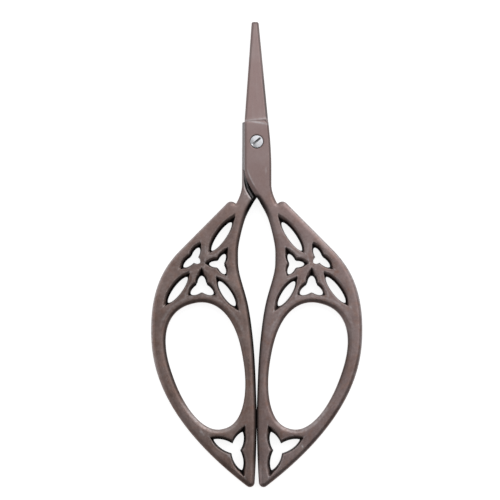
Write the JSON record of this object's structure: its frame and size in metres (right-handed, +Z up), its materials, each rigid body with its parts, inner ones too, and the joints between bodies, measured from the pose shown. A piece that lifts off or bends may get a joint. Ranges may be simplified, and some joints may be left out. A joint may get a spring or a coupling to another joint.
{
  "type": "craft scissors",
  "caption": "Small straight craft scissors: slim blunt-tipped blades crossing on a slotted pivot screw, with pointed leaf-shaped openwork handles in a satin bronze finish.",
  "frame": {"origin": "on the surface the scissors lie on, on their centre line and midway along their length", "axes": "+Y towards the blade tips, +Z up along the pivot axis towards the screw's head, +X to the right-hand handle"},
  "size_m": [0.0542, 0.12, 0.0039],
  "materials": {
    "bronze_plate": "satin bronze-brown plating on cast steel, darker in the openwork",
    "screw_steel": "bright turned steel with a driver slot"
  },
  "bodies": {
    "front_half": {"front_half": "bronze_plate"},
    "rear_half": {"rear_half": "bronze_plate"},
    "pivot_screw": {"pivot_screw": "screw_steel"}
  },
  "joints": [
    {"name": "blade_pivot", "type": "hinge", "parent": "front_half", "child": "rear_half", "pos_m": [0, 0.0288, 0.0019], "axis": [0, 0, -1], "range_deg": [0, 130]},
    {"name": "tension_adjust", "type": "hinge", "parent": "rear_half", "child": "pivot_screw", "pos_m": [0, 0.0288, 0.0019], "axis": [0, 0, 1], "range_deg": [-45, 45]}
  ]
}
